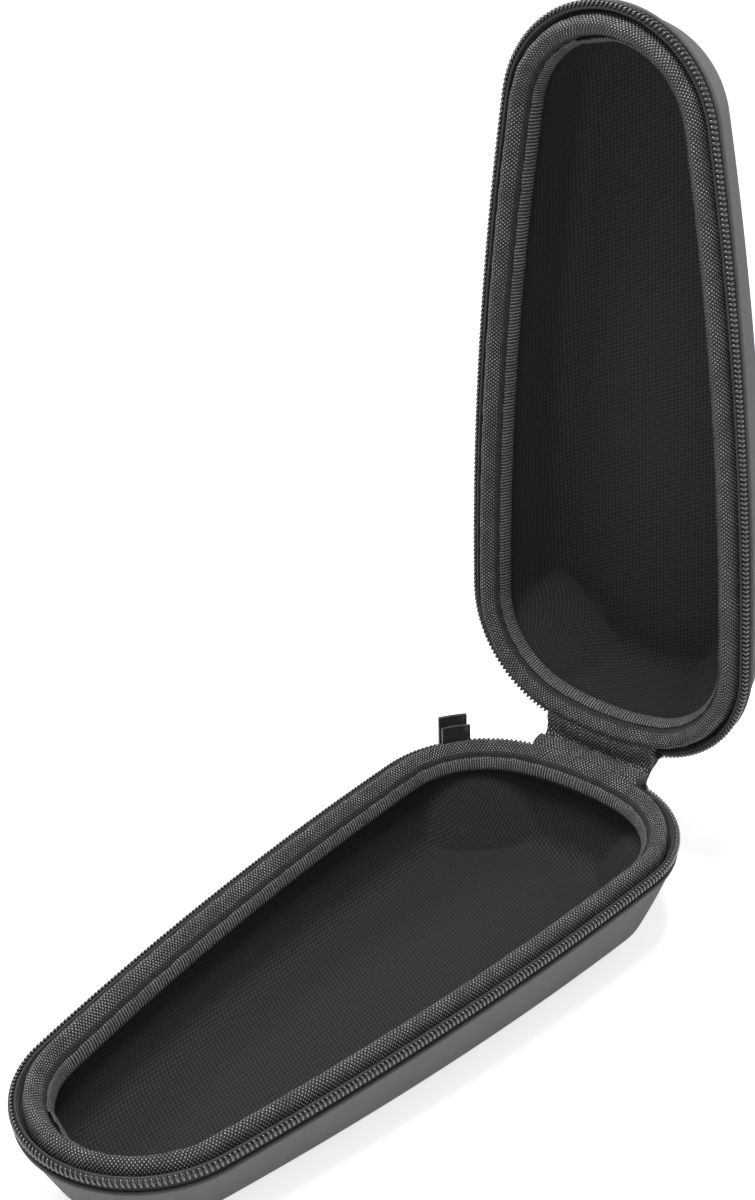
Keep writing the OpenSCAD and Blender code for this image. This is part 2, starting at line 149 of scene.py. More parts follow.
def smooth_path(corners, count, closed=False):
    """Evenly spaced curve through the corners: between b and c, with neighbours a and d, the cubic
    that leaves b along (c - a) / 2 and meets c along (d - b) / 2."""
    p = np.asarray(corners, float)
    before, after = (p[-1:], p[:2]) if closed else (2 * p[:1] - p[1:2], 2 * p[-1:] - p[-2:-1])
    ring = np.concatenate([before, p, after])
    s = np.linspace(0, 1, 32, endpoint=False)[None, :, None]
    a, b, c, d = (ring[k:len(ring) - 3 + k, None] for k in range(4))
    fine = (2 * b + (c - a) * s + (2 * a - 5 * b + 4 * c - d) * s**2 + (3 * b - a - 3 * c + d) * s**3) / 2
    fine = np.concatenate([fine.reshape(-1, p.shape[1]), p[:1] if closed else p[-1:]])
    way = np.r_[0, np.cumsum(np.linalg.norm(np.diff(fine, axis=0), axis=1))]
    at = np.linspace(0, way[-1], count + 1 if closed else count)
    path = np.stack([np.interp(at, way, column) for column in fine.T], -1)
    return path[:-1] if closed else path


def path_length(path, closed):
    """Length so far at each point of a path, with one more value for the way back to its start if it
    is closed."""
    ring = np.concatenate([path, path[:1]]) if closed else path
    return np.r_[0, np.cumsum(np.linalg.norm(np.diff(ring, axis=0), axis=1))]


def ripple(distance, waves, seed, period=None):
    """Sum of sines of whole numbers of waves round the rim, with fixed phases, about 1 high at most."""
    phases = np.random.default_rng(seed).uniform(0, 2 * math.pi, len(waves))
    turn = 2 * math.pi * distance / (period or 2 * HALF_ROUND)
    return sum(np.sin(n * turn + phase) for n, phase in zip(waves, phases)) / len(waves)


def crown(share):
    """Depth of the lip's crown at a share of its width: a quarter ellipse outside 0.3, a power of 1.3
    inside it."""
    outer = np.clip(1 - share / 0.3, 0, 1)
    inner = np.clip((share - 0.3) / 0.7, 0, None)
    return CROWN_DROP + SHOULDER_FALL * (1 - np.sqrt(1 - outer**2)) + (LIP_FALL - CROWN_DROP) * inner**1.3


def piece(name, grid, uv, half, round_along=False, round_across=False, merge=False):
    """Mesh over a grid of points in the rim plane's frame: quads between neighbours, closed along or across
    where asked, with ends filled on an open tube, and its UV map in millimetres. Faces point outwards.
    The base rests flat: nothing of it goes below the ground."""
    points = in_place(grid, half)
    if half == "base":
        points[..., 2] = np.maximum(points[..., 2], 0.0)
    rows, columns = points.shape[:2]
    a, b = np.meshgrid(np.arange(rows - (not round_along)), np.arange(columns - (not round_across)),
                       indexing="ij")
    ca = np.stack([a, a + 1, a + 1, a], -1).reshape(-1, 4)
    cb = np.stack([b, b, b + 1, b + 1], -1).reshape(-1, 4)
    faces, corners = (ca % rows) * columns + cb % columns, uv[ca, cb]
    flat = points.reshape(-1, 3)
    quads = flat[faces]
    middle = quads.mean(1) - flat.mean(0)
    turned = np.cross(quads[:, 2] - quads[:, 0], quads[:, 3] - quads[:, 1])
    outward = np.einsum("ij,ij->", middle, turned) > 0
    if not outward:
        faces, corners = faces[:, ::-1], corners[:, ::-1]
    faces, corners = faces.tolist(), corners.reshape(-1, 2)
    if round_across and not round_along:
        first, last = np.arange(columns), (rows - 1) * columns + np.arange(columns)
        ends = [first if outward else first[::-1], last[::-1] if outward else last]
        faces += [end.tolist() for end in ends]
        corners = np.concatenate([corners] + [uv[:rows, :columns].reshape(-1, 2)[end] for end in ends])
    mesh = bpy.data.meshes.new(name)
    mesh.from_pydata(flat, [], faces)
    mesh.uv_layers.new(name="UVMap").data.foreach_set("uv", corners.astype(np.float32).ravel())
    mesh.polygons.foreach_set("use_smooth", np.ones(len(mesh.polygons), bool))
    if merge:
        work = bmesh.new()
        work.from_mesh(mesh)
        bmesh.ops.remove_doubles(work, verts=work.verts, dist=2e-6)
        work.to_mesh(mesh)
        work.free()
    obj = bpy.data.objects.new(name, mesh)
    bpy.context.scene.collection.objects.link(obj)
    return obj


def settle(obj, half, nodes, material):
    """The piece gets its material, stands for its CAD nodes and rides on its half."""
    obj.data.materials.append(material)
    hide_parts(*nodes)
    if half:
        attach(obj, half)
    return obj


class Finish:
    """A procedural material while its nodes are laid."""

    def __init__(self, name):
        self.material = bpy.data.materials.get(name) or bpy.data.materials.new(name)
        self.material.use_nodes = True
        self.nodes, self.links = self.material.node_tree.nodes, self.material.node_tree.links
        self.nodes.clear()

    def lay(self, kind, values=(), **settings):
        """New node with its settings and its input values or links."""
        made = self.nodes.new(kind)
        for key, value in settings.items():
            setattr(made, key, value)
        for key, value in dict(values).items():
            if isinstance(value, bpy.types.NodeSocket):
                self.links.new(value, made.inputs[key])
            else:
                made.inputs[key].default_value = value
        return made

    def math(self, operation, *values):
        """One arithmetic step."""
        return self.lay("ShaderNodeMath", dict(enumerate(values)), operation=operation).outputs[0]

    def wave(self, way, pitch, phase=0.0):
        """Cosine of a distance with the given pitch."""
        turned = self.math("MULTIPLY_ADD", way, 2 * math.pi / pitch, phase)
        return self.math("COSINE", turned)

    def cloth_map(self):
        """The piece's own map in millimetres: the vector, and its two parts."""
        vector = self.lay("ShaderNodeUVMap", uv_map="UVMap").outputs["UV"]
        parts = self.lay("ShaderNodeSeparateXYZ", {"Vector": vector}).outputs
        return vector, parts["X"], parts["Y"]

    def place(self):
        """Object coordinates in metres."""
        return self.lay("ShaderNodeTexCoord").outputs["Object"]

    def noise(self, vector, scale, detail=2.0, rough=0.5):
        """Noise from 0 to 1."""
        values = {"Vector": vector, "Scale": scale, "Detail": detail, "Roughness": rough}
        return self.lay("ShaderNodeTexNoise", values).outputs["Fac"]

    def ramp(self, value, low, high, to_low=0.0, to_high=1.0):
        """Smooth step of a value between two limits."""
        values = {"Value": value, "From Min": low, "From Max": high, "To Min": to_low, "To Max": to_high}
        return self.lay("ShaderNodeMapRange", values, interpolation_type="SMOOTHSTEP").outputs["Result"]

    def blend(self, share, first, second):
        """Mixed colour."""
        made = self.lay("ShaderNodeMix", data_type="RGBA")
        for key, value in (("Factor", share), ("A", first), ("B", second)):
            socket = [s for s in made.inputs if s.name == key and s.enabled][0]
            if isinstance(value, bpy.types.NodeSocket):
                self.links.new(value, socket)
            else:
                socket.default_value = value if key == "Factor" else tuple(value)[:3] + (1.0,)
        return [s for s in made.outputs if s.enabled][0]

    def bump(self, height, distance, strength=1.0, normal=None):
        """Relief of the given height in metres."""
        values = {"Height": height, "Distance": distance, "Strength": strength}
        if normal is not None:
            values["Normal"] = normal
        return self.lay("ShaderNodeBump", values).outputs["Normal"]

    def close(self, **values):
        """The surface shader and the output."""
        named = {key.replace("_", " "): value for key, value in values.items()}
        shader = self.lay("ShaderNodeBsdfPrincipled", named)
        out = self.lay("ShaderNodeOutputMaterial")
        self.links.new(shader.outputs["BSDF"], out.inputs["Surface"])
        return self.material


def shade(color, factor):
    """A colour made lighter or darker."""
    return tuple(min(1.0, channel * factor) for channel in tuple(color)[:3]) + (1.0,)


def woven_band_finish(sizes, finishes, name="woven band", seam_shade=0.12):
    """Coarse weave: bright yarn crossings in a staggered lattice, which sink into the seam by the binding,
    where painted shade darkens them."""
    f = Finish(name)
    vector, u, v = f.cloth_map()
    stray = f.noise(vector, 0.55, 2.0)
    drift = f.math("MULTIPLY_ADD", stray, 0.5, -0.25)
    u2, v2 = f.math("ADD", u, drift), f.math("ADD", v, f.math("MULTIPLY", drift, 0.8))
    lattice = f.math("MULTIPLY", f.wave(u2, sizes.weave_along * 1000), f.wave(v2, sizes.weave_across * 1000))
    grain = f.noise(vector, 3.2, 3.0, 0.65)
    dots = f.ramp(f.math("MULTIPLY_ADD", grain, 0.8, f.math("SUBTRACT", lattice, 0.4)), 0.38, 0.85)
    broad = f.noise(vector, 0.16, 2.0)
    # Broad random tone, times painted shade: past SEAM_FROM across the band's map the yarn colour falls to
    # seam_shade, as shade in the seam.
    lit = f.math("MULTIPLY", f.ramp(broad, 0.3, 0.7, 0.5, 1.0),
                 f.ramp(v, SEAM_FROM, SEAM_TO, 1.0, seam_shade))
    yarn = f.blend(f.math("MULTIPLY", dots, lit), finishes.band_ground, finishes.band_yarn)
    relief = f.math("MULTIPLY_ADD", grain, 0.3, f.math("MULTIPLY_ADD", lattice, 0.5, 0.5))
    return f.close(Base_Color=yarn, Roughness=0.72, Sheen_Weight=0.04, Sheen_Roughness=0.5,
                   Normal=f.bump(relief, 0.00026, 1.0))


def ribbed_binding_finish(sizes, finishes):
    """Grosgrain: ribs straight across the tape, lighter on their crests, broken by the threads that run
    along it."""
    f = Finish("ribbed binding")
    vector, u, v = f.cloth_map()
    stray = f.noise(vector, 0.7, 2.0)
    u2 = f.math("ADD", u, f.math("MULTIPLY_ADD", stray, 0.5, -0.25))
    ribs = f.math("MULTIPLY_ADD", f.wave(u2, sizes.rib_pitch * 1000), 0.5, 0.5)
    threads = f.math("MULTIPLY_ADD", f.wave(v, 0.42), 0.5, 0.5)
    grain = f.noise(vector, 4.0, 3.0, 0.65)
    broken = f.math("MULTIPLY", ribs, f.math("MULTIPLY_ADD", threads, 0.45, 0.55))
    crest = f.ramp(f.math("MULTIPLY_ADD", grain, 0.6, f.math("SUBTRACT", broken, 0.3)), 0.42, 0.92)
    broad = f.noise(vector, 0.2, 2.0)
    lit = f.ramp(broad, 0.3, 0.7, 0.75, 1.0)
    yarn = f.blend(f.math("MULTIPLY", crest, lit), finishes.binding_ground, finishes.binding_yarn)
    relief = f.math("MULTIPLY_ADD", grain, 0.25, broken)
    return f.close(Base_Color=yarn, Roughness=0.68, Sheen_Weight=0.04, Sheen_Roughness=0.5,
                   Normal=f.bump(relief, 0.0002, 0.9))


def outer_fabric_finish(sizes, finishes):
    """Tight oxford cloth: fine ribs square to the rim crossed by finer threads, with cloudy wear."""
    f = Finish("outer fabric")
    vector, u, v = f.cloth_map()
    stray = f.noise(vector, 0.4, 2.0)
    u2 = f.math("ADD", u, f.math("MULTIPLY_ADD", stray, 0.4, -0.2))
    warp = f.math("MULTIPLY_ADD", f.wave(u2, sizes.cloth_pitch * 1000), 0.5, 0.5)
    weft = f.math("MULTIPLY_ADD", f.wave(v, sizes.cloth_pitch * 1300), 0.5, 0.5)
    grain = f.noise(vector, 3.0, 3.0, 0.6)
    thread = f.math("MULTIPLY_ADD", weft, 0.35, f.math("MULTIPLY", warp, 0.65))
    cloud = f.noise(vector, 0.08, 3.0)
    near = f.math("MULTIPLY_ADD", grain, 0.3, f.math("MULTIPLY", thread, 0.6))
    level = f.math("MULTIPLY_ADD", cloud, 0.3, near)
    color = f.blend(f.ramp(level, 0.15, 0.95), shade(finishes.outer_fabric, 0.62),
                    shade(finishes.outer_fabric, 1.3))
    return f.close(Base_Color=color, Roughness=0.82, Sheen_Weight=0.15, Sheen_Roughness=0.5,
                   Normal=f.bump(f.math("MULTIPLY_ADD", grain, 0.3, thread), 0.00012, 0.8))


def lining_finish(sizes, finishes):
    """Smooth dark cloth: a fine diagonal twill under lines along the case, with soft creases."""
    f = Finish("lining")
    vector, u, v = f.cloth_map()
    stray = f.noise(vector, 0.25, 2.0)
    u2 = f.math("ADD", u, f.math("MULTIPLY_ADD", stray, 0.6, -0.3))
    lines = f.math("MULTIPLY_ADD", f.wave(u2, sizes.lining_pitch * 1000), 0.5, 0.5)
    slant = f.math("ADD", f.math("MULTIPLY", u2, 0.45), f.math("MULTIPLY", v, 0.9))
    twill = f.math("MULTIPLY_ADD", f.wave(slant, sizes.lining_pitch * 950), 0.5, 0.5)
    grain = f.noise(vector, 2.6, 3.0, 0.65)
    thread = f.math("MULTIPLY", f.math("MULTIPLY_ADD", twill, 0.6, 0.4),
                    f.math("MULTIPLY_ADD", lines, 0.6, 0.4))
    level = f.math("MULTIPLY_ADD", grain, 0.7, f.math("MULTIPLY", thread, 0.6))
    color = f.blend(f.ramp(level, 0.3, 0.95), shade(finishes.lining, 0.3), shade(finishes.lining, 2.6))
    creases = f.noise(vector, 0.09, 4.0, 0.55)
    cloth = f.bump(f.math("MULTIPLY_ADD", grain, 0.3, thread), 0.0001, 0.8)
    return f.close(Base_Color=color, Roughness=0.8, Specular_IOR_Level=0.25, Sheen_Weight=0.03,
                   Normal=f.bump(creases, 0.0012, 0.5, cloth))


def zip_tape_finish(finishes):
    """Knitted tape: fine ribs across it on a smooth ground."""
    f = Finish("zip tape")
    vector, u, _ = f.cloth_map()
    ribs = f.math("MULTIPLY_ADD", f.wave(u, 0.5), 0.5, 0.5)
    grain = f.noise(vector, 2.5, 2.0)
    level = f.math("MULTIPLY_ADD", grain, 0.6, f.math("MULTIPLY", ribs, 0.4))
    color = f.blend(f.ramp(level, 0.2, 0.8), shade(finishes.zip_tape, 0.75), shade(finishes.zip_tape, 1.2))
    return f.close(Base_Color=color, Roughness=0.6, Sheen_Weight=0.1, Normal=f.bump(level, 0.00006, 0.8))


def coil_finish(finishes, name="coil nylon"):
    """Black monofilament with a satin skin, slightly scuffed."""
    f = Finish(name)
    scuff = f.noise(f.place(), 900.0, 2.0)
    color = f.blend(f.ramp(scuff, 0.35, 0.75), shade(finishes.coil, 0.8), shade(finishes.coil, 1.5))
    rough = f.ramp(scuff, 0.3, 0.8, 0.2, 0.34)
    return f.close(Base_Color=color, Roughness=rough, Specular_IOR_Level=0.9, Coat_Weight=0.5,
                   Coat_Roughness=0.15, Normal=f.bump(scuff, 0.00001, 0.5))


def foam_finish(finishes):
    """Closed-cell foam: small rounded cells."""
    f = Finish("moulded foam")
    cells = f.lay("ShaderNodeTexVoronoi", {"Vector": f.place(), "Scale": 1400.0}).outputs["Distance"]
    color = f.blend(f.ramp(cells, 0.1, 0.7), shade(finishes.lining, 0.7), shade(finishes.lining, 1.8))
    return f.close(Base_Color=color, Roughness=0.9, Normal=f.bump(cells, 0.0001, 0.6))


def slider_finish(finishes, name, tone):
    """Painted cast metal: an even coat, with a fine peel and rubbed patches."""
    f = Finish(name)
    peel = f.noise(f.place(), 1500.0, 2.0)
    rub = f.ramp(f.noise(f.place(), 260.0, 3.0), 0.52, 0.7)
    color = f.blend(rub, shade(finishes.metal, tone), shade(finishes.metal, tone * 2.2))
    rough = f.ramp(peel, 0.3, 0.7, 0.3, 0.42)
    return f.close(Base_Color=color, Metallic=0.35, Roughness=rough, Normal=f.bump(peel, 0.00002, 0.4))


def around(count):
    """Distances once round the rim, both ends included."""
    return np.linspace(0, 2 * HALF_ROUND, count + 1)


def level_down(down, offset):
    """Inward place of the drafted wall at a depth, at a distance in from its outer face."""
    return (down - SEAT) * math.tan(DRAFT) + offset / math.cos(DRAFT)


def shell_profile(top, offset, walls, rounds, floors):
    """From the rim down a wall, round the fillet and over the floor: columns of inward place, depth,
    offset and the share of the way from the floor's edge to its middle line."""
    foot = FILLET_DOWN + (FLOOR_RADIUS - offset) * math.sin(DRAFT)
    down = np.linspace(top, foot, walls, endpoint=False)
    turn = np.linspace(DRAFT, math.pi / 2, rounds)
    arm = FLOOR_RADIUS - offset
    inward = np.r_[level_down(down, offset), FILLET_IN - arm * np.cos(turn), np.full(floors, FILLET_IN)]
    depth = np.r_[down, FILLET_DOWN + arm * np.sin(turn), np.full(floors, DEPTH_BACK - offset)]
    share = np.r_[np.zeros(walls + rounds), np.linspace(0, 1, floors + 1)[1:]]
    return np.stack([inward, depth, np.full(len(depth), offset), share], -1)


def shell_grid(distance, profile, softness, inset=1.0):
    """A tray: the profile carried round the rim; past each back corner's slanted facet a point moves
    level with itself until it lies on it, with a soft edge; the floor closes on a middle line and rises
    evenly to the nose. Also the map, unrolled from the floor up the walls."""
    inward, depth, offset, share = profile.T
    rise, run = DEPTH_BACK - FACET_START, CORNER_CUT - inset
    slope = math.hypot(rise, run)
    lean = math.sqrt(0.5)
    normal = np.array([lean * rise / slope, lean * rise / slope, -run / slope])
    foot = np.r_[CORNER_CENTRE + (CORNER_RADIUS - inset) * lean, -FACET_START]
    grid = carried(distance, np.broadcast_to(inward, (len(distance), len(inward))), depth)
    x, y, z = np.moveaxis(grid, -1, 0)
    excess = np.abs(x) * normal[0] + y * normal[1] + z * normal[2] - (foot @ normal - offset)
    eased = np.clip(excess + softness, 0, 2 * softness) ** 2 / (4 * softness)
    soft = eased + np.maximum(excess - softness, 0)
    move = soft * slope / rise * lean
    x, y = x - np.where(x < 0, -1, 1) * move, y - move
    middle = np.clip(y, *FLOOR_LINE)
    x, y = x * (1 - share), y * (1 - share) + middle * share
    bed = DEPTH_BACK + (DEPTH_NOSE - DEPTH_BACK) * -y / LENGTH
    z = np.where(z > -SEAT, z, -SEAT + (z + SEAT) * (bed - SEAT) / (DEPTH_BACK - SEAT))
    point, outward = rim_line(distance)
    length = path_length(profile[:, :2], False)
    climb = np.maximum(length[np.argmax(share > 0) - 1 if share.max() else -1] - length, 0)
    edge = point[:, None] - FILLET_IN * outward[:, None]
    unrolled = edge + outward[:, None] * climb[None, :, None]
    uv = np.where((share > 0)[None, :, None], np.stack([x, y], -1), unrolled)
    return np.stack([x, y, z], -1), uv


def layered_tray(distance, outer, inner, softness, inset=1.0):
    """Closed tray between two profiles that both run from the rim to the floor's middle line."""
    near, near_map = shell_grid(distance, outer, softness, inset)
    far, far_map = shell_grid(distance, inner, softness, inset)
    return (np.concatenate([near[:, ::-1], far], 1)[:-1], np.concatenate([near_map[:, ::-1], far_map], 1))


def cover_tray(half):
    """Outer fabric: wall, fillet and floor, with its upper edge rolled over a cord."""
    roll = np.array([[-0.12, SEAT + 0.55], [-0.28, SEAT + 0.2], [-0.2, SEAT - 0.2], [0.12, SEAT - 0.4],
                     [0.5, SEAT - 0.38], [0.75, SEAT - 0.1]])
    roll = np.c_[roll, np.zeros((len(roll), 2))]
    outside = shell_profile(SEAT + 0.9, 0.0, 12, 10, 6)
    outside = np.concatenate([roll[::-1], outside])
    inside = shell_profile(SEAT + 0.1, COVER, 6, 6, 3)
    grid, uv = layered_tray(around(TRAY_STEPS), outside, inside, 1.4)
    return piece(f"{half}_outer_fabric", grid, uv, half, round_along=True, merge=True)


def lining_tray(half):
    """Lining: from under the binding it draws back to the wall, then follows wall, fillet and floor."""
    tuck = smooth_path([[9.0, 6.9], [8.7, 7.6], [7.4, 8.7], [6.25, 9.9], [5.85, 11.2]], 10)[:-1]
    behind = smooth_path([[8.5, 6.6], [8.1, 7.2], [6.9, 8.3], [5.6, 9.8], [5.2, 11.0]], 5)[:-1]
    front = shell_profile(11.6, LINED, 14, 12, 8)
    back = shell_profile(11.4, WALL, 5, 6, 3)
    front = np.concatenate([np.c_[tuck, np.full(len(tuck), LINED), np.zeros(len(tuck))], front])
    back = np.concatenate([np.c_[behind, np.full(len(behind), WALL), np.zeros(len(behind))], back])
    grid, uv = layered_tray(around(TRAY_STEPS), back, front, 0.9, 3.2)
    return piece(f"{half}_lining_cloth", grid, uv, half, round_along=True, merge=True)


def band_loop(half, sizes):
    """Padded band: a closed section over the bead, full at its crown, drawn down in a seam beside the
    binding, with slow waves along it and a pucker at each stitch."""
    share = np.array([0.0, 0.035, 0.09, 0.17, 0.27, 0.38, 0.5, 0.62])
    puffed = sizes.band_puff * 1000 * np.sin(np.pi * np.clip(share / 0.75, 0, 1)) ** 0.7
    top = np.stack([BAND_OUT + share * (LIP_WIDTH - BAND_OUT), crown(share) - puffed], -1)
    seam = sizes.seam_depth * 1000
    section = np.concatenate([
        [[2.55, 6.4], [2.46, 5.4], [2.42, 4.3]], top,
        [[7.15, 2.65 + 0.1 * seam], [7.6, 3.3 + 0.5 * seam], [7.85, 3.75 + seam], [8.1, 4.25 + seam]],
        [[7.6, 5.3], [6.6, 4.2], [5.6, 3.0], [4.6, 2.7], [3.9, 4.2], [3.6, 6.4]]])
    section = smooth_path(section, 52, closed=True)
    distance = around(BAND_STEPS)
    inward = np.broadcast_to(section[:, 0], (len(distance), len(section))).copy()
    depth = np.broadcast_to(section[:, 1], inward.shape).copy()
    shown = np.clip((5.5 - section[:, 1]) / 1.5, 0, 1) * (np.arange(len(section)) < 33)
    near_seam = np.exp(-((section[:, 0] - 7.7) / 0.5) ** 2) * shown
    seed = 3 if half == "base" else 8
    slow = ripple(distance, (31, 47, 73, 101), seed)[:, None]
    stitches = round(2 * HALF_ROUND / STITCH)
    quick = np.cos(2 * math.pi * stitches * distance / (2 * HALF_ROUND))[:, None]
    rough = ripple(distance, (89, 131, 167), seed + 1)[:, None]
    depth += 0.16 * slow * shown + 0.07 * quick * near_seam + 0.22 * rough * near_seam
    inward += 0.1 * ripple(distance, (37, 59, 83), seed + 2)[:, None] * shown
    grid = carried(distance, inward, depth)[:-1]
    across = path_length(section, True)
    uv = np.stack(np.meshgrid(distance * 0.93, across, indexing="ij"), -1)
    return piece(f"{half}_woven_band", grid, uv, half, round_along=True, round_across=True)


def binding_loop(half):
    """Ribbed binding: a flattened roll over the inner edge of the lip. One end overlaps the other by the
    nose."""
    section = smooth_path([
        [7.95, 4.5], [7.72, 3.95], [7.85, 3.55], [8.3, 3.95], [8.75, 4.75], [9.1, 5.6], [9.25, 6.4],
        [9.1, 7.0], [8.75, 6.95], [8.6, 6.3], [8.35, 5.5]], 28, closed=True)
    distance = around(BINDING_STEPS)
    inward = np.broadcast_to(section[:, 0], (len(distance), len(section))).copy()
    depth = np.broadcast_to(section[:, 1], inward.shape).copy()
    seed = 21 if half == "base" else 34
    edge = np.clip((8.4 - section[:, 0]) / 0.6, 0, 1) * (np.arange(len(section)) < 10)
    top = (np.arange(len(section)) < 14).astype(float)
    inward += 0.16 * ripple(distance, (43, 67, 109), seed)[:, None] * edge
    depth += 0.1 * ripple(distance, (39, 53, 97), seed + 1)[:, None] * top
    lap_end = 262.0 if half == "base" else 257.0
    lap = np.clip((lap_end - distance[:, None] - 1.2 * (section[:, 0] - 8.5)) / 0.5, 0, 1)
    lap = lap * np.clip((distance[:, None] - lap_end + 12) / 4, 0, 1)
    depth -= 0.5 * lap * top
    inward += 0.45 * lap * top
    grid = carried(distance, inward, depth)[:-1]
    across = path_length(section, True)
    uv = np.stack(np.meshgrid(distance * 0.87, across, indexing="ij"), -1)
    return piece(f"{half}_ribbed_binding", grid, uv, half, round_along=True, round_across=True)


def chain_distance(count):
    """Distances along the zip, from one end of the chain to the other."""
    return np.linspace(CHAIN_START, 2 * HALF_ROUND - CHAIN_START, count)


def tape_strip(half):
    """Zip tape: a thin web from the wall up to the coil, with a soft fold along its free edge."""
    section = smooth_path([
        [1.3, 6.6], [1.4, 5.4], [1.45, 4.3], [1.4, 3.3], [1.2, 2.6], [0.85, 2.45], [0.55, 2.9], [0.0, 3.05],
        [-0.3, 3.4], [0.0, 3.75], [0.55, 3.9], [0.75, 4.6], [0.75, 5.6], [0.75, 6.6]], 30, closed=True)
    distance = chain_distance(TAPE_STEPS)
    inward = np.broadcast_to(section[:, 0], (len(distance), len(section))).copy()
    depth = np.broadcast_to(section[:, 1], inward.shape).copy()
    seed = 5 if half == "base" else 6
    free = np.clip((4.2 - section[:, 1]) / 2, 0, 1)
    depth += 0.06 * ripple(distance, (41, 71, 113), seed)[:, None] * free
    grid = carried(distance, inward, depth)
    across = path_length(section, True)
    uv = np.stack(np.meshgrid(distance, across, indexing="ij"), -1)
    return piece(f"{half}_tape", grid, uv, half, round_across=True)


def coil_helix(half, sizes):
    """Wound coil: a round filament on a helix of oval turns about the zip line. At angle w a turn stands
    out by a cos w and up by b sin w while it advances one pitch; the filament is a circle square to the
    way it runs."""
    pitch, wire = sizes.tooth_pitch * 1000, sizes.filament * 500
    reach = np.array([COIL_THICKNESS / 2 - wire, COIL_HEIGHT / 2 - wire])
    start = CHAIN_START + 1.7
    turns = int((2 * HALF_ROUND - 2 * start) / pitch)
    start = HALF_ROUND - turns * pitch / 2
    angle = np.linspace(0, 2 * math.pi * turns, TURN_STEPS * turns + 1)
    point, outward = rim_line(start + angle / (2 * math.pi) * pitch)
    outward = np.c_[outward, np.zeros(len(outward))]
    forward = np.stack([outward[:, 1], -outward[:, 0], np.zeros(len(outward))], -1)
    up = np.array([0.0, 0.0, 1.0])
    cos, sin = np.cos(angle)[:, None], np.sin(angle)[:, None]
    middle = np.c_[point, np.full(len(point), -COIL_DROP - COIL_HEIGHT / 2)]
    middle = middle + reach[0] * cos * outward + reach[1] * sin * up
    along = -reach[0] * sin * outward + reach[1] * cos * up + pitch / (2 * math.pi) * forward
    along /= np.linalg.norm(along, axis=1, keepdims=True)
    away = reach[1] * cos * outward + reach[0] * sin * up
    away -= (away * along).sum(1, keepdims=True) * along
    away /= np.linalg.norm(away, axis=1, keepdims=True)
    beside = np.cross(along, away)
    around_wire = np.linspace(0, 2 * math.pi, 6, endpoint=False)[None, :, None]
    ring = np.cos(around_wire) * away[:, None] + np.sin(around_wire) * beside[:, None]
    grid = middle[:, None] + wire * ring
    length = path_length(middle, False)
    uv = np.stack(np.meshgrid(length, np.linspace(0, 2 * math.pi * wire, 7), indexing="ij"), -1)
    return piece(f"{half}_coil", grid, uv, half, round_across=True)


def lid_side(points):
    """The lid's twin of points beside the hinge: mirrored in the rim plane, then turned back about the
    hinge line."""
    y, z = points[..., 0] - HINGE_BACK, -points[..., 1]
    c, s = math.cos(OPEN_ANGLE), math.sin(OPEN_ANGLE)
    return np.stack([HINGE_BACK + y * c + z * s, -y * s + z * c], -1)


def hinge_strip():
    """Cloth of the hinge: one closed strip over both halves. Its front bunches in two folds that meet at the
    hinge line, its back lies on both walls; small waves run across it and fade towards its ends."""
    front = np.array([[-3.4, -6.0], [-3.6, -3.6], [-3.7, -1.6], [-2.8, -0.45], [-1.2, -0.08], [0.3, -0.1],
                      [1.35, -0.45], [2.05, -0.85]])
    back = np.array([[2.6, -2.2], [2.2, -3.6], [1.35, -5.6], [0.85, -8.0], [-0.55, -11.6], [-1.5, -12.5],
                     [-1.7, -11.8], [-0.3, -8.0], [-0.2, -6.5], [-1.4, -6.6]])
    folded = np.concatenate([front, [[2.7, -0.72]], lid_side(front)[::-1], lid_side(back)[::-1], back])
    section = smooth_path(folded, 120, closed=True)
    across = path_length(section, True)
    side = np.linspace(-HINGE_REACH, HINGE_REACH, 101)
    sag = -BACK_RADIUS + np.sqrt(BACK_RADIUS**2 - side**2)
    share = np.arange(len(section)) / len(section)
    fore = np.clip(1 - np.abs(share - 0.2) / 0.17, 0, 1)
    broad, fine = ripple(side, (5, 9, 14), 2, 2 * HINGE_REACH), ripple(side, (19, 27), 4, 2 * HINGE_REACH)
    waves = (0.5 * broad + 0.35 * fine)[:, None] * fore
    fade = np.clip((HINGE_REACH - np.abs(side)) / 2.5, 0, 1)[:, None] ** 0.5
    weight = np.clip((section[:, 1] + 1.2) / 2.4, 0, 1)
    y = section[:, 0] + waves * fade * 0.4 + sag[:, None] * (1 - weight)
    z = section[:, 1] + waves * fade * 0.5 - sag[:, None] * weight
    grid = np.stack([np.broadcast_to(side[:, None], y.shape), y, z], -1)
    uv = np.stack(np.meshgrid(side, across, indexing="ij"), -1)
    return piece("hinge_strip", grid, uv, "base", round_across=True)


def case_settings(context):
    """The sizes and finishes kept with the scene."""
    return context.scene.zip_case_sizes, context.scene.zip_case_finishes


def size(name, text, default):
    """A length property."""
    return bpy.props.FloatProperty(name=name, description=text, default=default, min=0.0, precision=5,
                                   unit="LENGTH", subtype="DISTANCE")


def tint(name, text, default):
    """A colour property."""
    return bpy.props.FloatVectorProperty(name=name, description=text, default=default, size=3,
                                         min=0.0, max=1.0, subtype="COLOR")


class ZipCaseSizes(bpy.types.PropertyGroup):
    """Sizes of the case's cloth and coil."""
    weave_along: size("Weave along", "Pitch of the band's yarn crossings along the rim", 0.00095)
    weave_across: size("Weave across", "Pitch of the band's yarn crossings across the rim", 0.0012)
    rib_pitch: size("Rib pitch", "Pitch of the binding's ribs", 0.0008)
    cloth_pitch: size("Cloth pitch", "Pitch of the threads of the outer fabric", 0.0004)
    band_puff: size("Band puff", "How far the padded band swells over its bead", 0.00018)
    seam_depth: size("Seam depth", "How far the band is drawn down beside the binding", 0.0012)
    lining_pitch: size("Lining pitch", "Pitch of the lines in the lining", 0.0011)
    tooth_pitch: size("Coil pitch", "Advance of the coil in one turn", 0.00127)
    filament: size("Filament", "Diameter of the coil's filament", 0.00074)


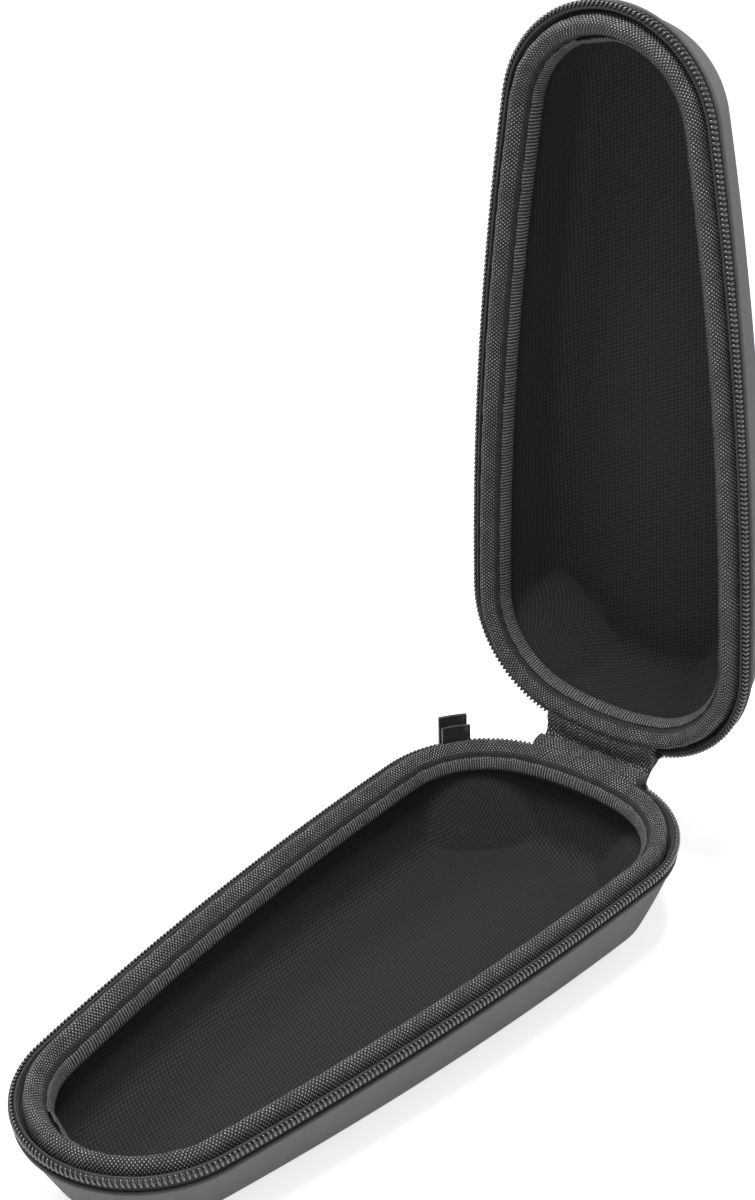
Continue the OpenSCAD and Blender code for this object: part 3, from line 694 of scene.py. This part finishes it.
class ZipCaseFinishes(bpy.types.PropertyGroup):
    """Colours of the case's cloth, coil and slider."""
    outer_fabric: tint("Outer fabric", "Colour of the outer cloth", (0.1, 0.101, 0.106))
    band_ground: tint("Band ground", "Colour between the band's yarns", (0.006, 0.006, 0.0065))
    band_yarn: tint("Band yarn", "Colour of the band's yarns", (0.55, 0.55, 0.56))
    binding_ground: tint("Binding ground", "Colour between the binding's ribs", (0.006, 0.006, 0.0063))
    binding_yarn: tint("Binding yarn", "Colour of the binding's ribs", (0.42, 0.42, 0.43))
    lining: tint("Lining", "Colour of the lining", (0.013, 0.013, 0.014))
    zip_tape: tint("Zip tape", "Colour of the zip's tape", (0.02, 0.02, 0.021))
    coil: tint("Coil", "Colour of the coil", (0.012, 0.012, 0.013))
    metal: tint("Slider metal", "Colour of the slider and its pull", (0.05, 0.05, 0.053))


class ZIPCASE_OT_covers(bpy.types.Operator):
    """Outer fabric of both halves"""
    bl_idname = "zip_case.covers"
    bl_label = "Outer fabric"

    def execute(self, context):
        sizes, finishes = case_settings(context)
        for half in ("base", "lid"):
            settle(cover_tray(half), half, [f"{half}_cover"],
                   outer_fabric_finish(sizes, finishes))
        return {"FINISHED"}


class ZIPCASE_OT_linings(bpy.types.Operator):
    """Lining of both halves"""
    bl_idname = "zip_case.linings"
    bl_label = "Lining"

    def execute(self, context):
        sizes, finishes = case_settings(context)
        for half in ("base", "lid"):
            settle(lining_tray(half), half, [f"{half}_lining"],
                   lining_finish(sizes, finishes))
        return {"FINISHED"}


class ZIPCASE_OT_bands(bpy.types.Operator):
    """Padded woven band round both rims"""
    bl_idname = "zip_case.bands"
    bl_label = "Woven bands"

    def execute(self, context):
        sizes, finishes = case_settings(context)
        for half in ("base", "lid"):
            band = settle(band_loop(half, sizes), half, [f"{half}_rim_band"],
                          woven_band_finish(sizes, finishes))
        return {"FINISHED"}


class ZIPCASE_OT_bindings(bpy.types.Operator):
    """Ribbed binding along the inner edge of both rims"""
    bl_idname = "zip_case.bindings"
    bl_label = "Ribbed bindings"

    def execute(self, context):
        sizes, finishes = case_settings(context)
        for half in ("base", "lid"):
            settle(binding_loop(half), half, [f"{half}_binding"],
                   ribbed_binding_finish(sizes, finishes))
        return {"FINISHED"}


class ZIPCASE_OT_zips(bpy.types.Operator):
    """Tape and wound coil of both halves"""
    bl_idname = "zip_case.zips"
    bl_label = "Zip tapes and coils"

    def execute(self, context):
        sizes, finishes = case_settings(context)
        for half in ("base", "lid"):
            settle(tape_strip(half), half, [f"{half}_zip_tape"], zip_tape_finish(finishes))
            settle(coil_helix(half, sizes), half, [f"{half}_zip_coil"], coil_finish(finishes))
        return {"FINISHED"}


class ZIPCASE_OT_hinge(bpy.types.Operator):
    """Cloth of the hinge over both halves, shaped at the lid's open angle"""
    bl_idname = "zip_case.hinge"
    bl_label = "Hinge cloth"

    def execute(self, context):
        sizes, finishes = case_settings(context)
        # A seam shade of 1 leaves the hinge cloth without the band's painted seam shade.
        strip = settle(hinge_strip(), None, ["base_hinge_cloth", "lid_hinge_cloth"],
                       woven_band_finish(sizes, finishes, "hinge cloth", 1.0))
        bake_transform(strip)
        return {"FINISHED"}


class ZIPCASE_OT_kept(bpy.types.Operator):
    """Finishes of the solids that stay: foam, stops, slider, bail and pull"""
    bl_idname = "zip_case.kept"
    bl_label = "Foam, stops and slider"

    def execute(self, context):
        _, finishes = case_settings(context)
        foam, nylon = foam_finish(finishes), coil_finish(finishes, "stop nylon")
        cast = slider_finish(finishes, "slider metal", 1.0)
        pull = slider_finish(finishes, "pull metal", 1.3)
        for name, material in (("base_core", foam), ("lid_core", foam), ("base_coil_stops", nylon),
                               ("lid_coil_stops", nylon), ("slider_body", cast), ("slider_bail", cast),
                               ("pull_tab", pull)):
            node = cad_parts[name]
            node.data.materials.clear()
            node.data.materials.append(material)
        return {"FINISHED"}


class ZIPCASE_OT_stage(bpy.types.Operator):
    """Pale floor, soft light and the camera"""
    bl_idname = "zip_case.stage"
    bl_label = "Stage"

    def execute(self, context):
        scene = context.scene
        scene.view_settings.view_transform = "Standard"
        mesh = bpy.data.meshes.new("floor")
        mesh.from_pydata([(-2, -2, 0), (2, -2, 0), (2, 2, 0), (-2, 2, 0)], [], [(0, 1, 2, 3)])
        floor = bpy.data.objects.new("floor", mesh)
        scene.collection.objects.link(floor)
        floor.data.materials.append(floor_finish())
        backdrop(scene)
        for name, place, target, width, power in (
            ("key light", (0.05, -0.1, 0.95), (0, 0.02, 0.05), 0.35, 8.0),
            ("front light", (0.55, -0.9, 0.5), (0, 0.0, 0.08), 0.25, 1.8),
            ("rim light", (-0.7, 0.1, 0.7), (0, 0.02, 0.1), 0.25, 1.6),
        ):
            lamp = bpy.data.lights.new(name, "AREA")
            lamp.energy, lamp.size = power, width
            shown = bpy.data.objects.new(name, lamp)
            shown.matrix_world = facing(place, target)
            scene.collection.objects.link(shown)
        scene.camera = photo_camera(scene)
        return {"FINISHED"}


def facing(place, target):
    """Turn and place of a lamp at one point that looks at another."""
    turned = (Vector(target) - Vector(place)).to_track_quat("-Z", "Y").to_matrix().to_4x4()
    return Matrix.Translation(place) @ turned


def floor_finish():
    """Matt pale floor, lifted to white where the camera or a reflection sees it, and still dark enough
    in its own colour to keep the shadow."""
    f = Finish("pale floor")
    path = f.lay("ShaderNodeLightPath").outputs
    seen = f.math("MAXIMUM", f.math("MAXIMUM", path["Is Camera Ray"], path["Is Glossy Ray"]),
                  path["Is Transmission Ray"])
    return f.close(Base_Color=(0.85, 0.85, 0.85, 1.0), Roughness=0.9, Emission_Color=(1.0, 1.0, 1.0, 1.0),
                   Emission_Strength=f.math("MULTIPLY", seen, 0.7))


def backdrop(scene):
    """World that is white to the camera and to reflections, and a dim even fill to all else."""
    world = bpy.data.worlds.new("backdrop")
    scene.world = world
    world.use_nodes = True
    nodes, links = world.node_tree.nodes, world.node_tree.links
    nodes.clear()
    path = nodes.new("ShaderNodeLightPath")
    most = [nodes.new("ShaderNodeMath") for _ in range(2)]
    for step in most:
        step.operation = "MAXIMUM"
    links.new(path.outputs["Is Camera Ray"], most[0].inputs[0])
    links.new(path.outputs["Is Glossy Ray"], most[0].inputs[1])
    links.new(most[0].outputs[0], most[1].inputs[0])
    links.new(path.outputs["Is Transmission Ray"], most[1].inputs[1])
    lift = nodes.new("ShaderNodeMapRange")
    links.new(most[1].outputs[0], lift.inputs["Value"])
    lift.inputs["To Min"].default_value = 0.3
    sky = nodes.new("ShaderNodeBackground")
    links.new(lift.outputs["Result"], sky.inputs["Strength"])
    out = nodes.new("ShaderNodeOutputWorld")
    links.new(sky.outputs["Background"], out.inputs["Surface"])


def photo_camera(scene):
    """Camera at the photograph's angle: a focal length and a distance fitted to the outline, moved across
    its own view so that the point above the middle of the case falls where the photograph shows it."""
    azimuth, elevation, roll = math.radians(40.874), math.radians(27.76), math.radians(-1.693)
    focal, distance, seen_x, seen_y = 2222.36, 539.52, 454.576, 681.70
    back = np.array([math.sin(azimuth) * math.cos(elevation),
                     -math.cos(azimuth) * math.cos(elevation), math.sin(elevation)])
    level = np.array([math.cos(azimuth), math.sin(azimuth), 0.0])
    upright = np.cross(back, level)
    right = math.cos(roll) * level + math.sin(roll) * upright
    up = math.cos(roll) * upright - math.sin(roll) * level
    place = np.array([0.0, -60.0, 50.0]) + back * distance
    middle_x, middle_y = PICTURE[0] / 2, PICTURE[1] / 2
    place = place - right * (seen_x - middle_x) / focal * distance
    place = place + up * (seen_y - middle_y) / focal * distance
    spot = in_place(place, "base")
    c, s = math.cos(TIP), math.sin(TIP)
    tipped = np.array([[1, 0, 0], [0, c, -s], [0, s, c]])
    lens = bpy.data.cameras.new("photo camera")
    lens.sensor_width = 36.0
    lens.lens = focal / PICTURE[1] * 36.0
    lens.clip_start = 0.01
    camera = bpy.data.objects.new("photo camera", lens)
    turned = np.eye(4)
    turned[:3, :3] = tipped @ np.stack([right, up, back], -1)
    turned[:3, 3] = spot
    camera.matrix_world = Matrix(turned.tolist())
    scene.collection.objects.link(camera)
    return camera


class ZIPCASE_PT_panel(bpy.types.Panel):
    """The case's pieces, sizes and finishes"""
    bl_label = "Zip Case"
    bl_idname = "ZIPCASE_PT_panel"
    bl_space_type = "VIEW_3D"
    bl_region_type = "UI"
    bl_category = "Zip Case"

    def draw(self, context):
        for operator in OPERATORS:
            self.layout.operator(operator.bl_idname)
        for settings in case_settings(context):
            for name in type(settings).__annotations__:
                self.layout.prop(settings, name)


OPERATORS = (ZIPCASE_OT_covers, ZIPCASE_OT_linings, ZIPCASE_OT_bands, ZIPCASE_OT_bindings, ZIPCASE_OT_zips,
             ZIPCASE_OT_hinge, ZIPCASE_OT_kept, ZIPCASE_OT_stage)
CLASSES = (ZipCaseSizes, ZipCaseFinishes) + OPERATORS + (ZIPCASE_PT_panel,)


def register():
    for each in CLASSES:
        bpy.utils.register_class(each)
    bpy.types.Scene.zip_case_sizes = bpy.props.PointerProperty(type=ZipCaseSizes)
    bpy.types.Scene.zip_case_finishes = bpy.props.PointerProperty(type=ZipCaseFinishes)


def unregister():
    del bpy.types.Scene.zip_case_finishes
    del bpy.types.Scene.zip_case_sizes
    for each in reversed(CLASSES):
        bpy.utils.unregister_class(each)


def main():
    register()
    for operator in OPERATORS:
        group, name = operator.bl_idname.split(".")
        getattr(getattr(bpy.ops, group), name)()


if __name__ == "__main__":
    main()
